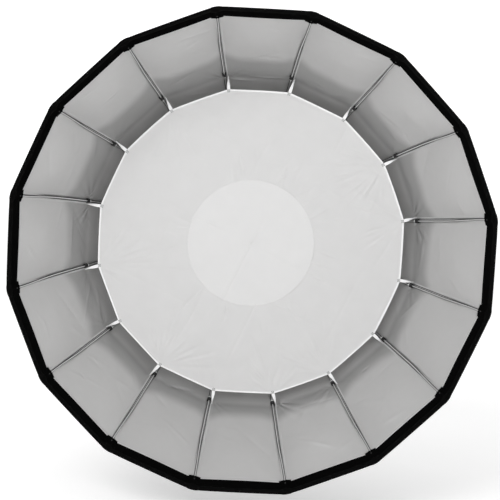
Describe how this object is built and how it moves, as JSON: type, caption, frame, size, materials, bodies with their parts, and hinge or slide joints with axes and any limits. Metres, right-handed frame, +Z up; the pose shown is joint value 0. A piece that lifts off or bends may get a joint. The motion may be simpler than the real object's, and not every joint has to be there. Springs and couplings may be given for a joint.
{
  "type": "octabox",
  "caption": "Deep folding light modifier: a faceted silver-lined fabric bowl on sprung ribs, with a flat inner baffle on straps and a bayonet speed ring behind.",
  "frame": {"origin": "centre of the bayonet insert's rear face, on the axis of the light", "axes": "+Y back along the light's axis to the lamp, so the mouth faces -Y; +Z up; ribs sit beside +Z so the mouth has a flat at its top"},
  "size_m": [1.177, 0.5757, 1.177],
  "materials": {
    "insert_metal": "machined, satin",
    "hub_black": "black powder coat",
    "spring_steel": "bright drawn wire",
    "rod_steel": "bright drawn tube",
    "knuckle_nylon": "moulded nylon",
    "runner_nylon": "moulded nylon",
    "knob_rubber": "soft-touch",
    "button_red": "moulded",
    "canopy_cloth": "black nylon outside, silver lining inside",
    "baffle_cloth": "white translucent nylon"
  },
  "bodies": {
    "bayonet": {"bayonet_insert": "insert_metal", "retaining_ring": "insert_metal"},
    "hub": {"speed_ring": "hub_black", "cover_ring": "hub_black", "pivot_wire": "spring_steel", "rear_hem": "canopy_cloth", "inner_baffle": "baffle_cloth", "baffle_patch": "baffle_cloth"},
    "runner": {"runner_ring": "runner_nylon"},
    "lock_knob": {"swivel_lock_knob": "knob_rubber"},
    "button": {"release_button": "button_red"},
    "rib_01": {"rod_01": "rod_steel", "knuckle_01": "knuckle_nylon", "canopy_panel_01": "canopy_cloth"},
    "rib_02": {"rod_02": "rod_steel", "knuckle_02": "knuckle_nylon", "canopy_panel_02": "canopy_cloth"},
    "rib_03": {"rod_03": "rod_steel", "knuckle_03": "knuckle_nylon", "canopy_panel_03": "canopy_cloth"},
    "rib_04": {"rod_04": "rod_steel", "knuckle_04": "knuckle_nylon", "canopy_panel_04": "canopy_cloth"},
    "rib_05": {"rod_05": "rod_steel", "knuckle_05": "knuckle_nylon", "canopy_panel_05": "canopy_cloth"},
    "rib_06": {"rod_06": "rod_steel", "knuckle_06": "knuckle_nylon", "canopy_panel_06": "canopy_cloth"},
    "rib_07": {"rod_07": "rod_steel", "knuckle_07": "knuckle_nylon", "canopy_panel_07": "canopy_cloth"},
    "rib_08": {"rod_08": "rod_steel", "knuckle_08": "knuckle_nylon", "canopy_panel_08": "canopy_cloth"},
    "rib_09": {"rod_09": "rod_steel", "knuckle_09": "knuckle_nylon", "canopy_panel_09": "canopy_cloth"},
    "rib_10": {"rod_10": "rod_steel", "knuckle_10": "knuckle_nylon", "canopy_panel_10": "canopy_cloth"},
    "rib_11": {"rod_11": "rod_steel", "knuckle_11": "knuckle_nylon", "canopy_panel_11": "canopy_cloth"},
    "rib_12": {"rod_12": "rod_steel", "knuckle_12": "knuckle_nylon", "canopy_panel_12": "canopy_cloth"},
    "rib_13": {"rod_13": "rod_steel", "knuckle_13": "knuckle_nylon", "canopy_panel_13": "canopy_cloth"},
    "rib_14": {"rod_14": "rod_steel", "knuckle_14": "knuckle_nylon", "canopy_panel_14": "canopy_cloth"},
    "rib_15": {"rod_15": "rod_steel", "knuckle_15": "knuckle_nylon", "canopy_panel_15": "canopy_cloth"},
    "rib_16": {"rod_16": "rod_steel", "knuckle_16": "knuckle_nylon", "canopy_panel_16": "canopy_cloth"}
  },
  "joints": [
    {"name": "hub_swivel", "type": "hinge", "parent": "bayonet", "child": "hub", "pos_m": [0, -0.03, 0], "axis": [0, 1, 0], "continuous": true},
    {"name": "swivel_lock", "type": "hinge", "parent": "hub", "child": "lock_knob", "pos_m": [0, -0.014, -0.1105], "axis": [0, 0, 1], "range_deg": [0, 180]},
    {"name": "release_press", "type": "slide", "parent": "hub", "child": "button", "axis": [0, 0, -1], "range_m": [0, 0.003], "stiffness_N_per_m": 300, "springref_m": -0.003},
    {"name": "rib_fold_01", "type": "hinge", "parent": "hub", "child": "rib_01", "pos_m": [0.07846, -0.032, 0.01561], "axis": [0.1951, 0, -0.9808], "range_deg": [0, 44], "deforming": ["canopy_panel_01", "inner_baffle", "baffle_patch"]},
    {"name": "rib_fold_02", "type": "hinge", "parent": "hub", "child": "rib_02", "pos_m": [0.06652, -0.032, 0.04445], "axis": [0.5556, 0, -0.8315], "range_deg": [0, 44], "deforming": ["canopy_panel_02"]},
    {"name": "rib_fold_03", "type": "hinge", "parent": "hub", "child": "rib_03", "pos_m": [0.04445, -0.032, 0.06652], "axis": [0.8315, 0, -0.5556], "range_deg": [0, 44], "deforming": ["canopy_panel_03"]},
    {"name": "rib_fold_04", "type": "hinge", "parent": "hub", "child": "rib_04", "pos_m": [0.01561, -0.032, 0.07846], "axis": [0.9808, 0, -0.1951], "range_deg": [0, 44], "deforming": ["canopy_panel_04"]},
    {"name": "rib_fold_05", "type": "hinge", "parent": "hub", "child": "rib_05", "pos_m": [-0.01561, -0.032, 0.07846], "axis": [0.9808, 0, 0.1951], "range_deg": [0, 44], "deforming": ["canopy_panel_05"]},
    {"name": "rib_fold_06", "type": "hinge", "parent": "hub", "child": "rib_06", "pos_m": [-0.04445, -0.032, 0.06652], "axis": [0.8315, 0, 0.5556], "range_deg": [0, 44], "deforming": ["canopy_panel_06"]},
    {"name": "rib_fold_07", "type": "hinge", "parent": "hub", "child": "rib_07", "pos_m": [-0.06652, -0.032, 0.04445], "axis": [0.5556, 0, 0.8315], "range_deg": [0, 44], "deforming": ["canopy_panel_07"]},
    {"name": "rib_fold_08", "type": "hinge", "parent": "hub", "child": "rib_08", "pos_m": [-0.07846, -0.032, 0.01561], "axis": [0.1951, 0, 0.9808], "range_deg": [0, 44], "deforming": ["canopy_panel_08"]},
    {"name": "rib_fold_09", "type": "hinge", "parent": "hub", "child": "rib_09", "pos_m": [-0.07846, -0.032, -0.01561], "axis": [-0.1951, 0, 0.9808], "range_deg": [0, 44], "deforming": ["canopy_panel_09"]},
    {"name": "rib_fold_10", "type": "hinge", "parent": "hub", "child": "rib_10", "pos_m": [-0.06652, -0.032, -0.04445], "axis": [-0.5556, 0, 0.8315], "range_deg": [0, 44], "deforming": ["canopy_panel_10"]},
    {"name": "rib_fold_11", "type": "hinge", "parent": "hub", "child": "rib_11", "pos_m": [-0.04445, -0.032, -0.06652], "axis": [-0.8315, 0, 0.5556], "range_deg": [0, 44], "deforming": ["canopy_panel_11"]},
    {"name": "rib_fold_12", "type": "hinge", "parent": "hub", "child": "rib_12", "pos_m": [-0.01561, -0.032, -0.07846], "axis": [-0.9808, 0, 0.1951], "range_deg": [0, 44], "deforming": ["canopy_panel_12"]},
    {"name": "rib_fold_13", "type": "hinge", "parent": "hub", "child": "rib_13", "pos_m": [0.01561, -0.032, -0.07846], "axis": [-0.9808, 0, -0.1951], "range_deg": [0, 44], "deforming": ["canopy_panel_13"]},
    {"name": "rib_fold_14", "type": "hinge", "parent": "hub", "child": "rib_14", "pos_m": [0.04445, -0.032, -0.06652], "axis": [-0.8315, 0, -0.5556], "range_deg": [0, 44], "deforming": ["canopy_panel_14"]},
    {"name": "rib_fold_15", "type": "hinge", "parent": "hub", "child": "rib_15", "pos_m": [0.06652, -0.032, -0.04445], "axis": [-0.5556, 0, -0.8315], "range_deg": [0, 44], "deforming": ["canopy_panel_15"]},
    {"name": "rib_fold_16", "type": "hinge", "parent": "hub", "child": "rib_16", "pos_m": [0.07846, -0.032, -0.01561], "axis": [-0.1951, 0, -0.9808], "range_deg": [0, 44], "deforming": ["canopy_panel_16"]},
    {"name": "runner_slide", "type": "slide", "parent": "hub", "child": "runner", "axis": [0, 1, 0], "range_m": [0, 0.0113]}
  ],
  "couplings": [
    {"joint": "rib_fold_02", "follows": "rib_fold_01", "ratio": 1},
    {"joint": "rib_fold_03", "follows": "rib_fold_01", "ratio": 1},
    {"joint": "rib_fold_04", "follows": "rib_fold_01", "ratio": 1},
    {"joint": "rib_fold_05", "follows": "rib_fold_01", "ratio": 1},
    {"joint": "rib_fold_06", "follows": "rib_fold_01", "ratio": 1},
    {"joint": "rib_fold_07", "follows": "rib_fold_01", "ratio": 1},
    {"joint": "rib_fold_08", "follows": "rib_fold_01", "ratio": 1},
    {"joint": "rib_fold_09", "follows": "rib_fold_01", "ratio": 1},
    {"joint": "rib_fold_10", "follows": "rib_fold_01", "ratio": 1},
    {"joint": "rib_fold_11", "follows": "rib_fold_01", "ratio": 1},
    {"joint": "rib_fold_12", "follows": "rib_fold_01", "ratio": 1},
    {"joint": "rib_fold_13", "follows": "rib_fold_01", "ratio": 1},
    {"joint": "rib_fold_14", "follows": "rib_fold_01", "ratio": 1},
    {"joint": "rib_fold_15", "follows": "rib_fold_01", "ratio": 1},
    {"joint": "rib_fold_16", "follows": "rib_fold_01", "ratio": 1},
    {"joint": "runner_slide", "follows": "rib_fold_01", "m_per_rad": 0.014634}
  ]
}
